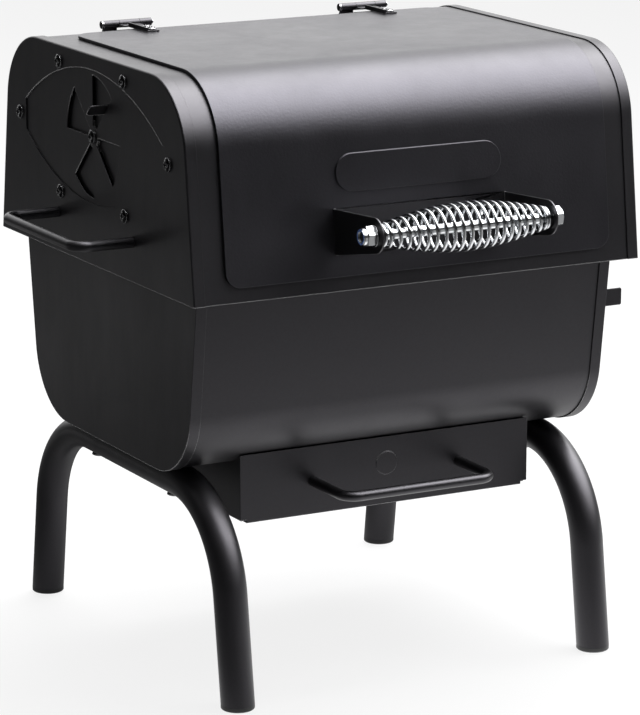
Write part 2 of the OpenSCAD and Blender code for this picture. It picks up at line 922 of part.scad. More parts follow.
// Barrel-shaped coil with closed end turns: a ring of points carried along the helix.
module handle_spring() {
  ring = 8;
  steps = grip_turns * 20;
  half = bracket_w / 2 - bracket_t - spring_gap - wire_d / 2;
  r_mid = (grip_d - wire_d) / 2;
  r_end = (grip_end_d - wire_d) / 2;
  shut = closed_turns * (wire_d + coil_gap);
  open_pitch = (2 * half - 2 * shut) / (grip_turns - 2 * closed_turns);
  path = [for (i = [0:steps])
    let (
      n = i * grip_turns / steps,
      m = min(n, closed_turns) + max(0, n - grip_turns + closed_turns),
      z = m * (wire_d + coil_gap) + (n - m) * open_pitch
    )
    [r_end + (r_mid - r_end) * sin(180 * z / (2 * half)), 360 * n, z - half]];
  points = [for (p = path, k = [0:ring - 1])
    let (b = 360 * k / ring, r = p[0] + wire_d / 2 * cos(b))
    [r * cos(p[1]), r * sin(p[1]), p[2] + wire_d / 2 * sin(b)]];
  sides = [for (i = [0:steps - 1], k = [0:ring - 1])
    let (n = (k + 1) % ring)
    [i * ring + k, (i + 1) * ring + k, (i + 1) * ring + n, i * ring + n]];
  caps = [[for (k = [0:ring - 1]) k], [for (k = [ring - 1:-1:0]) steps * ring + k]];
  color(STEEL) placed() on_grip() polyhedron(points = points, faces = concat(sides, caps), convexity = 10);
}

// ---- carrying handles ----

module carry_ends(side) {
  for (s = [-1, 1])
    translate([side * hood_x1, carry_y0 + s * carry_half, carry_z]) rotate([0, side * 90, 0]) children();
}

module side_handle(side) {
  color(BLACK) placed() mirror([side < 0 ? 1 : 0, 0, 0]) translate([hood_x1 + lay_gap, carry_y0, carry_z])
    u_rod(carry_half, carry_out, carry_bend, rod_d, 6 + 2 * thread_fit, 16);
}

module side_handle_left() {
  side_handle(-1);
}

module side_handle_right() {
  side_handle(1);
}

module side_handle_screws() {
  color(STEEL) placed() for (side = [-1, 1])
    carry_ends(side) translate([0, 0, -sheet_t - lay_gap]) mirror([0, 0, 1]) pan_screw(m6_pan, 15);
}

// ---- legs ----

// Bent leg as a solid rod of radius r: a level run, two bends and two splayed straights.
// Each straight laps a little way into its bend.
module leg_rod(r) {
  a = leg_splay;
  knee = foot_half - tan(a) * leg_z;
  cut = leg_bend * tan((90 - a) / 2);
  run = knee - cut;
  straight = leg_z / cos(a) - cut;
  translate([0, -run, leg_z]) rotate([-90, 0, 0]) cylinder(r = r, h = 2 * run);
  both_y() translate([0, run, leg_z - leg_bend]) rotate([0, -90, 0]) {
    rotate_extrude(angle = 90 - a) translate([leg_bend, 0]) circle(r = r);
    rotate([0, 0, 90 - a]) translate([leg_bend, -leg_lap, 0]) rotate([-90, 0, 0])
      cylinder(r = r - leg_step, h = straight + leg_lap + 10);
  }
}

module leg(side) {
  color(BLACK) placed() difference() {
    intersection() {
      translate([side * leg_x, leg_y0, 0]) difference() {
        leg_rod(leg_r);
        leg_rod(leg_r - leg_wall);
      }
      block([-tub_w, -tub_w, cap_floor + lay_gap], [tub_w, tub_w, tub_z1]);
    }
    leg_bolt_places() translate([0, 0, -e]) cylinder(d = 8 + 2 * clear, h = 80);
  }
}

module leg_left() {
  leg(-1);
}

module leg_right() {
  leg(1);
}

// Plug with a stem that sits inside the tube and a base as wide as the tube.
module leg_caps() {
  color(PLASTIC) placed() for (sx = [-1, 1], sy = [-1, 1])
    translate([sx * leg_x, leg_y0 + sy * (foot_half - tan(leg_splay) * cap_floor), 0]) {
      cylinder(r1 = leg_r - cap_edge, r2 = leg_r, h = cap_edge);
      translate([0, 0, cap_edge]) cylinder(r = leg_r, h = cap_floor - cap_edge);
      translate([0, 0, cap_floor]) rotate([sy * leg_splay, 0, 0]) translate([0, 0, -cap_edge * 2])
        cylinder(r = leg_r - leg_wall - cap_fit, h = cap_stem);
    }
}

module leg_bolt_places() {
  for (sx = [-1, 1], sy = [-1, 1])
    translate([sx * leg_x, leg_y0 + sy * leg_bolt_y, leg_z - leg_r - lay_gap]) children();
}

module leg_bolts() {
  color(STEEL) placed() leg_bolt_places() mirror([0, 0, 1]) pan_screw(m8_low, leg_d + 10);
}

module leg_nuts() {
  color(STEEL) placed() leg_bolt_places()
    translate([0, 0, leg_d + sheet_t + 3 * lay_gap]) nut(13, 7, 8);
}

// ---- ash chute and drawer ----

module chute_screw_places() {
  for (sx = [-1, 1], sy = [-1, 1])
    translate([sx * chute_screw[0], sy * chute_screw[1], tub_z0]) children();
}

module drawer_housing() {
  inner = chute_half_w - sheet_t;
  top = tub_z0 + 20;
  flange_z = tub_z0 + inner_lay - lay_gap;
  color(BLACK) placed() difference() {
    union() {
      for (s = [0, 1]) mirror([s, 0, 0]) {
        block([inner, -chute_y - 5, runner_z], [chute_half_w, chute_y, top]);
        block([inner - runner_w, -chute_y - 5, runner_z], [chute_half_w, chute_y, runner_z + sheet_t]);
        block([inner, -95, flange_z - sheet_t], [chute_half_w + chute_flange, 95, flange_z]);
      }
      block([-inner, chute_y - sheet_t, runner_z], [inner, chute_y, top]);
    }
    in_tub() along_x(-hood_w, hood_w) tub_section(inner_lay - lay_gap, 2);
    chute_screw_places() cylinder(d = m5_pan[0] + 2 * clear, h = 30, center = true);
  }
}

module housing_screws() {
  color(STEEL) placed() chute_screw_places() {
    translate([0, 0, inner_lay - sheet_t - 2 * lay_gap]) mirror([0, 0, 1]) pan_screw(m5_pan, 10);
    translate([0, 0, inner_lay + sheet_t + lay_gap]) nut(8, 4, 5);
  }
}

module ash_drawer() {
  y0 = drawer_y + sheet_t + lay_gap;
  color(BLACK) placed() difference() {
    block([-tray_half_w, y0, tray_z0], [tray_half_w, tray_y1, tray_z1]);
    block(
      [-tray_half_w + tray_t, y0 + tray_t, tray_z0 + tray_t],
      [tray_half_w - tray_t, tray_y1 - tray_t, tray_z1 + e]
    );
    pull_places() cylinder(d = m5_pan[0] + 2 * clear, h = 20, center = true);
  }
}

module pull_places() {
  for (s = [-1, 1])
    translate([s * pull_half, drawer_y, pull_z]) rotate([90, 0, 0]) children();
}

// Front plate with a narrower tongue that folds back under the tray.
module drawer_front() {
  w = drawer_half_w;
  tongue = w - front_step[0];
  low = drawer_z0 + front_step[1];
  color(BLACK) placed() difference() {
    union() {
      block([-w, drawer_y, low], [w, drawer_y + sheet_t, front_top]);
      block([-tongue, drawer_y, drawer_z0], [tongue, drawer_y + sheet_t, low + e]);
      block([-tongue, drawer_y, drawer_z0], [tongue, drawer_y + 14, drawer_z0 + sheet_t]);
      translate([0, drawer_y + 0.1, boss_z]) rotate([90, 0, 0]) cylinder(r = boss_r, h = 0.9);
    }
    pull_places() cylinder(d = m5_pan[0] + 2 * clear, h = 20, center = true);
  }
}

module drawer_handle() {
  color(BLACK) placed() translate([0, drawer_y - lay_gap, pull_z]) rotate([0, 0, -90])
    u_rod(pull_half, pull_out, pull_bend, pull_d, m5_pan[0] + 2 * thread_fit, 12);
}

module drawer_handle_screws() {
  color(STEEL) placed() pull_places()
    translate([0, 0, -sheet_t - tray_t - 2 * lay_gap]) mirror([0, 0, 1]) pan_screw(m5_pan, 12);
}

// ---- grates ----

module cooking_grate(side) {
  x0 = 2;
  x1 = x0 + cook_pitch * cook_gaps + bar_w;
  z0 = grate_top - bar_h;
  color(IRON) placed() mirror([side < 0 ? 1 : 0, 0, 0]) {
    for (y = [-grate_half_y, -bar_w / 2, grate_half_y - bar_w])
      block([x0, y, z0], [x1, y + bar_w, grate_top - 1]);
    for (i = [0:cook_gaps])
      block([x0 + i * cook_pitch, -grate_half_y, z0], [x0 + i * cook_pitch + bar_w, grate_half_y, grate_top]);
  }
}

module cooking_grate_left() {
  cooking_grate(-1);
}

module cooking_grate_right() {
  cooking_grate(1);
}

module charcoal_grate() {
  z0 = coal_ledge_z + 1.7;
  half_y = tub_inside(coal_ledge_z) - 6;
  color(IRON) placed() {
    for (x = [-coal_half_x:coal_pitch:coal_half_x])
      block([x - 2.5, -half_y, z0], [x + 2.5, half_y, z0 + 8]);
    for (y = [-half_y + 22, -3, half_y - 28])
      block([-coal_half_x, y, z0], [coal_half_x, y + 6, z0 + 7]);
  }
}

// Angle strip along the tub's inside wall, one at the front and one at the back.
module ledge_pair(z) {
  t = 1.5;
  foot = tub_inside(z) - lay_gap;
  tip = tub_inside(z + ledge_up) - lay_gap;
  color(BLACK) placed() both_y() along_x(-ledge_half_x, ledge_half_x) polygon([
    [foot, z], [tip, z + ledge_up], [tip - t, z + ledge_up],
    [foot + tub_lean * t - t, z + t], [foot - ledge_w, z + t], [foot - ledge_w, z]
  ]);
}

module cooking_ledges() {
  ledge_pair(cook_ledge_z);
}

module charcoal_ledges() {
  ledge_pair(coal_ledge_z);
}

// ---- air intake ----

module intake_shutter() {
  x0 = tub_x1 + lay_gap;
  slot_w = 5.3;
  color(BLACK) placed() {
    difference() {
      block([x0, shutter_y[0], shutter_z[0]], [x0 + sheet_t, shutter_y[1], shutter_z[1]]);
      for (y = intake_holes_y)
        translate([x0, y - intake_travel, intake_z]) rotate([0, 90, 0])
          cylinder(r = intake_hole_r, h = 10, center = true);
      for (y = guides_y) {
        block([x0 - e, y - intake_travel, guide_z - slot_w / 2], [x0 + 5, y, guide_z + slot_w / 2]);
        for (yy = [y - intake_travel, y])
          translate([x0, yy, guide_z]) rotate([0, 90, 0]) cylinder(d = slot_w, h = 10, center = true);
      }
    }
    translate([x0 + sheet_t - 0.2, shutter_y[0], intake_tab_z[0]]) intake_tab();
  }
}

// Finger tab bent out of the shutter's front edge.
module intake_tab() {
  w = intake_tab_z[1] - intake_tab_z[0];
  translate([intake_tab_out, 0, 0]) rotate([90, 0, 180]) finger_tab(intake_tab_out, w, sheet_t, intake_tab_r);
}

module intake_screws() {
  color(STEEL) placed() for (y = guides_y)
    translate([tub_x1 + sheet_t + 3 * lay_gap, y, guide_z]) rotate([0, 90, 0]) {
      pan_screw(m5_pan, 10);
      translate([0, 0, -2 * sheet_t - 4.3 - 3 * lay_gap]) nut(8, 4, 5);
    }
}

// ---- drawing ----

tub_shell();
tub_end_left();
tub_end_right();
hood_shell();
hood_end_left();
hood_end_right();
rim_bolts();
rim_nuts();
vent_cover();
vent_disc();
vent_pivot_screw();
vent_pivot_nut();
vent_cover_screws();
vent_cover_nuts();
lid_panel();
hinge_lid_leaf_left();
hinge_lid_leaf_right();
hinge_hood_leaf_left();
hinge_hood_leaf_right();
hinge_pins();
hinge_lid_screws();
hinge_hood_screws();
handle_bracket();
bracket_screws();
handle_bolt();
handle_nut();
handle_washers();
handle_spring();
side_handle_left();
side_handle_right();
side_handle_screws();
leg_left();
leg_right();
leg_caps();
leg_bolts();
leg_nuts();
drawer_housing();
housing_screws();
ash_drawer();
drawer_front();
drawer_handle();
drawer_handle_screws();
cooking_grate_left();
cooking_grate_right();
charcoal_grate();
cooking_ledges();
charcoal_ledges();
intake_shutter();
intake_screws();
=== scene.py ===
"""Looks, light and camera for the portable charcoal grill."""
import json
import math

import bmesh
import bpy
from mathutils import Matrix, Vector


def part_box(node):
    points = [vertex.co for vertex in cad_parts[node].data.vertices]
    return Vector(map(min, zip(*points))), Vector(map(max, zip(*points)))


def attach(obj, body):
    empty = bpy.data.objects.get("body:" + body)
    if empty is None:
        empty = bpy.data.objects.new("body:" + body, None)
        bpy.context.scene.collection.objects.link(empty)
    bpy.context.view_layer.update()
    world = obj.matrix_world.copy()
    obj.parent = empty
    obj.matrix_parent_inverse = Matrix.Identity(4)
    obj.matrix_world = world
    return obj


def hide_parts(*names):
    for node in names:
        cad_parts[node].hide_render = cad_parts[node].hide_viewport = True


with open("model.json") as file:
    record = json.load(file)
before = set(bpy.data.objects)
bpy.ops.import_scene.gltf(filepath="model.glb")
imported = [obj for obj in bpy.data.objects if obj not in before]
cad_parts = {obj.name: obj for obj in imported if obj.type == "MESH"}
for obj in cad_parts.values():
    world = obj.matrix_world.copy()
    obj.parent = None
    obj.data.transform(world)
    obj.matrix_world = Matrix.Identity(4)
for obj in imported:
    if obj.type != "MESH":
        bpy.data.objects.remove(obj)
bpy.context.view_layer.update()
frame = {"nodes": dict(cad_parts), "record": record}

MM = 0.001
scene = bpy.context.scene


# ---------------------------------------------------------------- node trees

COLOUR_A, COLOUR_B, MIXED_COLOUR = 6, 7, 2
BEVEL_SAMPLES = 4
WHITE = (1.0, 1.0, 1.0, 1.0)


class Tree:
    """The node tree of a material or of the world, cleared down to its output."""

    def __init__(self, owner, kind, space):
        owner.use_nodes = True
        self.owner = owner
        self.nodes = owner.node_tree.nodes
        self.links = owner.node_tree.links
        self.nodes.clear()
        self.output = self.add("Output" + kind)
        self.coord = self.add("TexCoord").outputs[space]

    def add(self, kind, inputs=None, **settings):
        """A new node; inputs are values or other nodes' sockets, by name or by number."""
        node = self.nodes.new("ShaderNode" + kind)
        for key, value in settings.items():
            setattr(node, key, value)
        for key, value in (inputs or {}).items():
            if isinstance(value, bpy.types.NodeSocket):
                self.links.new(value, node.inputs[key])
            else:
                node.inputs[key].default_value = value
        return node

    def remap(self, value, source, target, **settings):
        """Value carried from the source range to the target range, and held at its ends."""
        (low, high), (to_low, to_high) = source, target
        ranges = {"From Min": low, "From Max": high, "To Min": to_low, "To Max": to_high}
        return self.add("MapRange", {"Value": value, **ranges}, **settings).outputs["Result"]

    def math(self, operation, a, b, clamp=False):
        return self.add("Math", {0: a, 1: b}, operation=operation, use_clamp=clamp).outputs[0]

    def dot(self, a, b):
        return self.add("VectorMath", {0: a, 1: b}, operation="DOT_PRODUCT").outputs["Value"]

    def blend(self, factor, a, b):
        """Shader a where factor is 0, shader b where it is 1."""
        return self.add("MixShader", {0: factor, 1: a, 2: b}).outputs[0]

    def show(self, shader):
        """Ends the tree with a shader and gives back the material or the world."""
        self.links.new(shader, self.output.inputs["Surface"])
        return self.owner


class Finish(Tree):
    """The node tree of one material."""

    def __init__(self, name):
        super().__init__(bpy.data.materials.new(name), "Material", "Object")

    def noise(self, scale, detail, rough, stretch=None, distortion=0.0):
        vector = self.coord
        if stretch:
            vector = self.add("Mapping", {"Vector": vector, "Scale": stretch}).outputs["Vector"]
        shape = {"Scale": scale, "Detail": detail, "Roughness": rough, "Distortion": distortion}
        return self.add("TexNoise", {"Vector": vector, **shape}).outputs["Fac"]

    def mix(self, factor, a, b):
        """Colour a where factor is 0, colour b where it is 1."""
        inputs = {"Factor": factor, COLOUR_A: a, COLOUR_B: b}
        return self.add("Mix", inputs, data_type="RGBA").outputs[MIXED_COLOUR]

    def rounded(self, radius):
        """The normal that the surface would have with its edges rounded by radius."""
        return self.add("Bevel", {"Radius": radius}, samples=BEVEL_SAMPLES).outputs["Normal"]

    def edge(self, radius, low, high):
        """0 on open faces and 1 along edges. Low and high say how far rounding has to turn the
        normal for that, as 1 minus the cosine of the turn."""
        flat = self.add("NewGeometry").outputs["Normal"]
        return self.remap(self.dot(self.rounded(radius), flat), (1.0 - low, 1.0 - high), (0.0, 1.0))

    def bump(self, height, distance, strength=1.0, normal=None):
        inputs = {"Height": height, "Distance": distance, "Strength": strength}
        if normal is not None:
            inputs["Normal"] = normal
        return self.add("Bump", inputs).outputs["Normal"]

    def principled(self, **inputs):
        """The usual surface; an underscore in a name stands for a space."""
        inputs = {key.replace("_", " "): value for key, value in inputs.items()}
        return self.show(self.add("BsdfPrincipled", inputs).outputs["BSDF"])


# ---------------------------------------------------------------- materials
# Noise scales are cycles in a metre; radii, sizes and depths are metres.

def rgb(r, g, b):
    return (r, g, b, 1.0)


def scaled(colour, factor):
    return rgb(*[c * factor for c in colour])


BLACK = (0.0036, 0.0036, 0.004)
WARM_TINT = (1.0, 0.965, 1.05)
VIOLET_TINT = (1.0, 0.965, 1.1)
IRON = rgb(0.022, 0.021, 0.02)
BROWN_IRON = rgb(0.042, 0.036, 0.031)
GRAIN_DEPTH = 0.00002
SCRATCH_DEPTH = 0.00001
SPARKED_DEPTH = 0.00006
LUMP_DEPTH = 0.0003
SAND_DEPTH = 0.00022
WEAR_AND_HIGHLIGHT_REACH = 0.0009
GLINT_REACH = 0.0013
GRIME_REACH = 0.0006
RIM_HIGHLIGHT_REACH = 0.0014
SCUFF_REACH = 0.0016


def powder_coat(
    name, rough, peel_size, peel_depth, wear_and_highlight_amount, tint=WARM_TINT, wear_and_highlight_tone=0.03, painted_glint=0.0
):
    """Black powder coat: orange peel, fine grain, uneven gloss and pale edges, scuffed bare on most
    parts and a painted highlight on the bracket.
    A painted highlight makes the edges that face down pale, in place of the floor's reflection in
    them."""
    g = Finish(name)
    grain = g.noise(2600.0, detail=2.0, rough=0.6)
    peel = g.noise(1.0 / peel_size, detail=3.0, rough=0.55)
    handling = g.noise(9.0, detail=4.0, rough=0.6, distortion=0.6)
    scuff = g.noise(60.0, detail=5.0, rough=0.65, stretch=(1.0, 1.0, 0.25))
    dust = g.noise(1900.0, detail=1.0, rough=0.5)
    normal = g.bump(peel, peel_depth)
    normal = g.bump(grain, GRAIN_DEPTH, normal=normal)
    edges = g.edge(WEAR_AND_HIGHLIGHT_REACH, low=0.03, high=0.2)
    wear_and_highlight = g.math("MULTIPLY", edges, g.remap(scuff, (0.42, 0.62), (0.2, 1.0)))
    wear_and_highlight = g.math("MULTIPLY", wear_and_highlight, wear_and_highlight_amount, clamp=True)
    clouds = g.remap(peel, (0.35, 0.65), (0.0, 1.0))
    paint = g.mix(clouds, scaled(BLACK, 0.7), scaled(BLACK, 1.4))
    specks = g.remap(dust, (0.74, 0.8), (0.0, 0.35))
    paint = g.mix(specks, paint, scaled(BLACK, 6.0))
    # Pale edges: scuffed paint, and where the edge tone is high, a painted highlight.
    colour = g.mix(wear_and_highlight, paint, rgb(wear_and_highlight_tone, wear_and_highlight_tone, wear_and_highlight_tone))
    # Painted highlight: edges that face down turn pale, standing in for the floor mirrored in them.
    if painted_glint:
        facing = g.add("SeparateXYZ", {"Vector": g.rounded(GLINT_REACH)})
        painted_glint_mask = g.remap(facing.outputs["Z"], (-0.12, -0.4), (0.0, 1.0))
        painted_glint_mask = g.math("MULTIPLY", g.edge(GLINT_REACH, low=0.02, high=0.12), painted_glint_mask)
        colour = g.mix(painted_glint_mask, colour, rgb(painted_glint, painted_glint, painted_glint))
    gloss = g.remap(handling, (0.3, 0.7), (rough - 0.03, rough + 0.03))
    gloss = g.math("ADD", gloss, g.remap(scuff, (0.3, 0.75), (-0.02, 0.03)))
    gloss = g.math("SUBTRACT", gloss, g.math("MULTIPLY", wear_and_highlight, 0.12))
    return g.principled(
        Base_Color=colour, Roughness=gloss, IOR=1.5, Normal=normal, Specular_Tint=rgb(*tint)
    )


def plated(name, tone, rough, brushed, grime=0.5):
    """Bright plated steel: clouded gloss, fine scratches along the part, grime along edges."""
    g = Finish(name)
    cloud = g.noise(240.0, detail=3.0, rough=0.55)
    scratch = g.noise(900.0, detail=2.0, rough=0.6, stretch=brushed)
    normal = g.bump(scratch, SCRATCH_DEPTH, 0.6)
    edges = g.edge(GRIME_REACH, low=0.05, high=0.3)
    dirt = g.math("MULTIPLY", edges, g.remap(cloud, (0.4, 0.65), (0.0, grime)))
    colour = g.mix(dirt, rgb(*tone), scaled(tone, 0.5))
    gloss = g.remap(cloud, (0.3, 0.7), (rough - 0.03, rough + 0.04))
    return g.principled(Base_Color=colour, Metallic=1.0, Roughness=gloss, Normal=normal)


def black_plated(name, tone, rim, rough):
    """Black-plated steel with its edges made bright metal, a painted highlight ring round them."""
    g = Finish(name)
    cloud = g.noise(300.0, detail=3.0, rough=0.55)
    edges = g.edge(RIM_HIGHLIGHT_REACH, low=0.015, high=0.1)
    # Painted highlight: the edges turn bright metal so that a bright ring shows round them.
    painted_rim_highlight = g.math("MULTIPLY", edges, g.remap(cloud, (0.3, 0.6), (0.7, 1.0)))
    normal = g.bump(cloud, SCRATCH_DEPTH)
    colour = g.mix(painted_rim_highlight, rgb(*tone), rgb(*rim))
    gloss = g.remap(cloud, (0.3, 0.7), (rough - 0.03, rough + 0.05))
    return g.principled(Base_Color=colour, Metallic=1.0, Roughness=gloss, Normal=normal)


def cast_iron(name):
    """Seasoned cast iron: sandy skin, low lumps and brownish oil stains."""
    g = Finish(name)
    sand = g.noise(900.0, detail=4.0, rough=0.65)
    lumps = g.noise(140.0, detail=2.0, rough=0.5)
    stain = g.noise(26.0, detail=4.0, rough=0.6)
    normal = g.bump(lumps, LUMP_DEPTH)
    normal = g.bump(sand, SAND_DEPTH, normal=normal)
    colour = g.mix(g.remap(stain, (0.4, 0.65), (0.0, 1.0)), IRON, BROWN_IRON)
    gloss = g.remap(stain, (0.3, 0.7), (0.5, 0.72))
    return g.principled(Base_Color=colour, Roughness=gloss, Metallic=0.25, Normal=normal)


def moulded(name, base, rough):
    """Moulded plastic with a fine sparked grain, scuffed along its edges."""
    g = Finish(name)
    grain = g.noise(1600.0, detail=3.0, rough=0.6)
    wipe = g.noise(45.0, detail=3.0, rough=0.6)
    normal = g.bump(grain, SPARKED_DEPTH)
    edges = g.edge(SCUFF_REACH, low=0.02, high=0.2)
    scuffed = g.math("MULTIPLY", edges, g.remap(wipe, (0.4, 0.6), (0.1, 0.8)))
    colour = g.mix(scuffed, rgb(*base), rgb(*[c * 2.5 + 0.01 for c in base]))
    gloss = g.remap(wipe, (0.3, 0.7), (rough - 0.05, rough + 0.08))
    return g.principled(Base_Color=colour, Roughness=gloss, Normal=normal)


ALONG_X = (0.2, 1.0, 1.0)
ALONG_Z = (1.0, 1.0, 0.2)
MATERIALS = {
    # Sheet paint has a painted highlight along its edges that face down.
    "sheet_paint": powder_coat(
        "sheet_paint", rough=0.40, peel_size=0.003, peel_depth=0.00004, wear_and_highlight_amount=0.5, painted_glint=0.5
    ),
    "lid_paint": powder_coat(
        "lid_paint", rough=0.40, peel_size=0.0022, peel_depth=0.00012, wear_and_highlight_amount=0.4, tint=VIOLET_TINT
    ),
    # The bracket's pale edges are a painted highlight along them.
    "bracket_paint": powder_coat(
        "bracket_paint", rough=0.33, peel_size=0.003, peel_depth=0.00003, wear_and_highlight_amount=1.0, wear_and_highlight_tone=0.3
    ),
    "rod_paint": powder_coat(
        "rod_paint", rough=0.36, peel_size=0.002, peel_depth=0.00003, wear_and_highlight_amount=0.5
    ),
    "leg_paint": powder_coat(
        "leg_paint", rough=0.40, peel_size=0.0022, peel_depth=0.00004, wear_and_highlight_amount=0.5
    ),
    "bright_steel": plated("bright_steel", (0.6, 0.61, 0.625), rough=0.15, brushed=ALONG_Z),
    # Screw heads carry a painted highlight ring round their edges.
    "dark_screw": black_plated(
        "dark_screw", tone=(0.02, 0.02, 0.022), rim=(0.95, 0.95, 0.97), rough=0.24
    ),
    "spring_steel": plated(
        "spring_steel", (0.55, 0.56, 0.575), rough=0.1, brushed=ALONG_X, grime=0.3
    ),
    "foot_plastic": moulded("foot_plastic", (0.005, 0.005, 0.0055), rough=0.45),
    "nylon": moulded("nylon", (0.05, 0.09, 0.22), rough=0.4),
    "grate_iron": cast_iron("grate_iron"),
}


# ---------------------------------------------------------------- shapes

SLOT = {part["node"]: part["material_slot"] for part in frame["record"]["subparts"]}
BODY = {node: body for body, nodes in frame["record"]["behaviour"]["bodies"].items() for node in nodes}
JOINT = {joint["name"]: joint for joint in frame["record"]["behaviour"]["joints"]}

WELD = 2e-6
SLIVER = 1e-6
FLAT_ANGLE = 0.3
SMOOTH_ANGLE = 35.0
SHARP_ANGLE = 32.0


def publish(obj, node):
    """Puts a finished piece in place of a CAD node, on that node's body and with its finish."""
    obj.data.materials.clear()
    obj.data.materials.append(MATERIALS[SLOT[node]])
    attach(obj, BODY[node])
    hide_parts(node)
    return obj


def smooth(bm, angle):
    """Smooth shading with hard edges wherever two faces meet at more than angle."""
    limit = math.radians(angle)
    for face in bm.faces:
        face.smooth = True
    for edge in bm.edges:
        edge.smooth = len(edge.link_faces) == 2 and edge.calc_face_angle(0.0) < limit


def new_object(name, data):
    """A new object in the scene, round a mesh, a lamp or a camera."""
    obj = bpy.data.objects.new(name, data)
    scene.collection.objects.link(obj)
    return obj


def cad_surface(node):
    """The CAD node's surface as a bmesh, welded and with its flat faces whole again."""
    source = frame["nodes"][node].data
    mesh = bpy.data.meshes.new("source")
    mesh.from_pydata(
        [v.co[:] for v in source.vertices], [], [tuple(p.vertices) for p in source.polygons]
    )
    bm = bmesh.new()
    bm.from_mesh(mesh)
    bpy.data.meshes.remove(mesh)
    bmesh.ops.remove_doubles(bm, verts=bm.verts, dist=WELD)
    bmesh.ops.dissolve_degenerate(bm, edges=bm.edges, dist=SLIVER)
    flat = math.radians(FLAT_ANGLE)
    bmesh.ops.dissolve_limit(bm, angle_limit=flat, verts=bm.verts, edges=bm.edges)
    bmesh.ops.recalc_face_normals(bm, faces=bm.faces)
    return bm


LEVEL = 0.1 * MM  # points this close in height or depth count as level
RIM_REACH = 9 * MM  # the middle of a rim's wall is this close to the outer face
HOLE_DEPTH = 2 * MM  # a hole's wall is less deep than this
FACING = 0.9  # a face looks along X when its normal's X is over this
SQUARE = 0.1  # and square to X when it is under this


def open_height(node):
    """Height of an end cap's open side: the top of a tub end, the bottom of a hood end."""
    low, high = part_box(node)
    return high[2] if node.startswith("tub") else low[2]


def cap_weight(edge, open_z, outer_x, usual):
    """Bevel weight of an end cap's edge: full along the pressed bend between its flat face and
    the rim that wraps the sheet, none round a hole in the flat face, and usual elsewhere."""
    if all(abs(v.co.z - open_z) < LEVEL for v in edge.verts):
        return usual
    flat = [f for f in edge.link_faces if abs(f.normal.x) > FACING]
    wall = [f for f in edge.link_faces if abs(f.normal.x) < SQUARE]
    if len(flat) != 1 or len(wall) != 1:
        return usual
    depths = [v.co.x for v in wall[0].verts]
    if max(depths) - min(depths) < HOLE_DEPTH:
        return 0.0
    outermost = all(abs(abs(v.co.x) - outer_x) <= LEVEL for v in edge.verts)
    on_rim = abs(wall[0].calc_center_median().x) > outer_x - RIM_REACH
    return 1.0 if outermost and on_rim else usual


EDGE_SEGMENTS = 2
PRESSED_SEGMENTS = 4


def dress(node, edge=0.0, pressed=0.0, angle=SHARP_ANGLE, clamp=False):
    """A piece with the CAD node's shape whose sharp edges are rounded by edge metres, and
    whose pressed bends, on an end cap, are rounded by pressed metres."""
    bm = cad_surface(node)
    smooth(bm, SMOOTH_ANGLE)
    limit = math.radians(angle)
    outer_x = max(abs(v.co.x) for v in bm.verts)
    open_z = open_height(node) if pressed else 0.0
    weight = bm.edges.layers.float.new("bevel_weight_edge")
    widest = max(edge, pressed)
    for e in bm.edges:
        if widest and len(e.link_faces) == 2 and e.calc_face_angle(0.0) > limit:
            usual = edge / widest
            e[weight] = cap_weight(e, open_z, outer_x, usual) if pressed else usual
    mesh = bpy.data.meshes.new(node + "_skin")
    bm.to_mesh(mesh)
    bm.free()
    obj = new_object(node + "_skin", mesh)
    if widest:
        bevel = obj.modifiers.new("edges", "BEVEL")
        bevel.width = widest
        bevel.segments = PRESSED_SEGMENTS if pressed else EDGE_SEGMENTS
        bevel.limit_method = "WEIGHT"
        bevel.use_clamp_overlap = clamp
        bevel.harden_normals = True
    return publish(obj, node)


TAPER = 0.3
WIRE_SMOOTH_ANGLE = 50.0


def ring_at(bm, centre, tangent, up, radius, count):
    side = tangent.cross(up).normalized()
    lift = side.cross(tangent).normalized()
    turn = 2 * math.pi / count
    return [
        bm.verts.new(centre + radius * (math.cos(k * turn) * side + math.sin(k * turn) * lift))
        for k in range(count)
    ]


def sweep(name, path, ups, radius, count):
    """Round wire along a path of points, with flat ends softened by a short taper."""
    bm = bmesh.new()
    last = len(path) - 1
    rings = []
    for i, point in enumerate(path):
        tangent = (path[min(i + 1, last)] - path[max(i - 1, 0)]).normalized()
        if i in (0, last):
            inward = tangent if i == 0 else -tangent
            end = [ring_at(bm, point, tangent, ups[i], (1 - TAPER) * radius, count)]
            end.append(ring_at(bm, point + TAPER * radius * inward, tangent, ups[i], radius, count))
            rings += end if i == 0 else end[::-1]
        else:
            rings.append(ring_at(bm, point, tangent, ups[i], radius, count))
    for a, b in zip(rings, rings[1:]):
        for k in range(count):
            n = (k + 1) % count
            bm.faces.new((a[k], a[n], b[n], b[k]))
    bm.faces.new(rings[0][::-1])
    bm.faces.new(rings[-1])
    bmesh.ops.recalc_face_normals(bm, faces=bm.faces)
    smooth(bm, WIRE_SMOOTH_ANGLE)
    mesh = bpy.data.meshes.new(name)
    bm.to_mesh(mesh)
    bm.free()
    return new_object(name, mesh)


HOOD_LEAN = 0.117  # how far the hood's front leans back for each metre up
LEAN = math.atan(HOOD_LEAN)
TURNS = 22
CLOSED_TURNS = 1.5
WIRE_D = 3.2 * MM
COIL_GAP = 0.15 * MM
WIDE_D = 45.0 * MM
END_D = 21.0 * MM
WIDE_R = (WIDE_D - WIRE_D) / 2
END_R = (END_D - WIRE_D) / 2
STEPS_PER_TURN = 40
WIRE_SIDES = 14


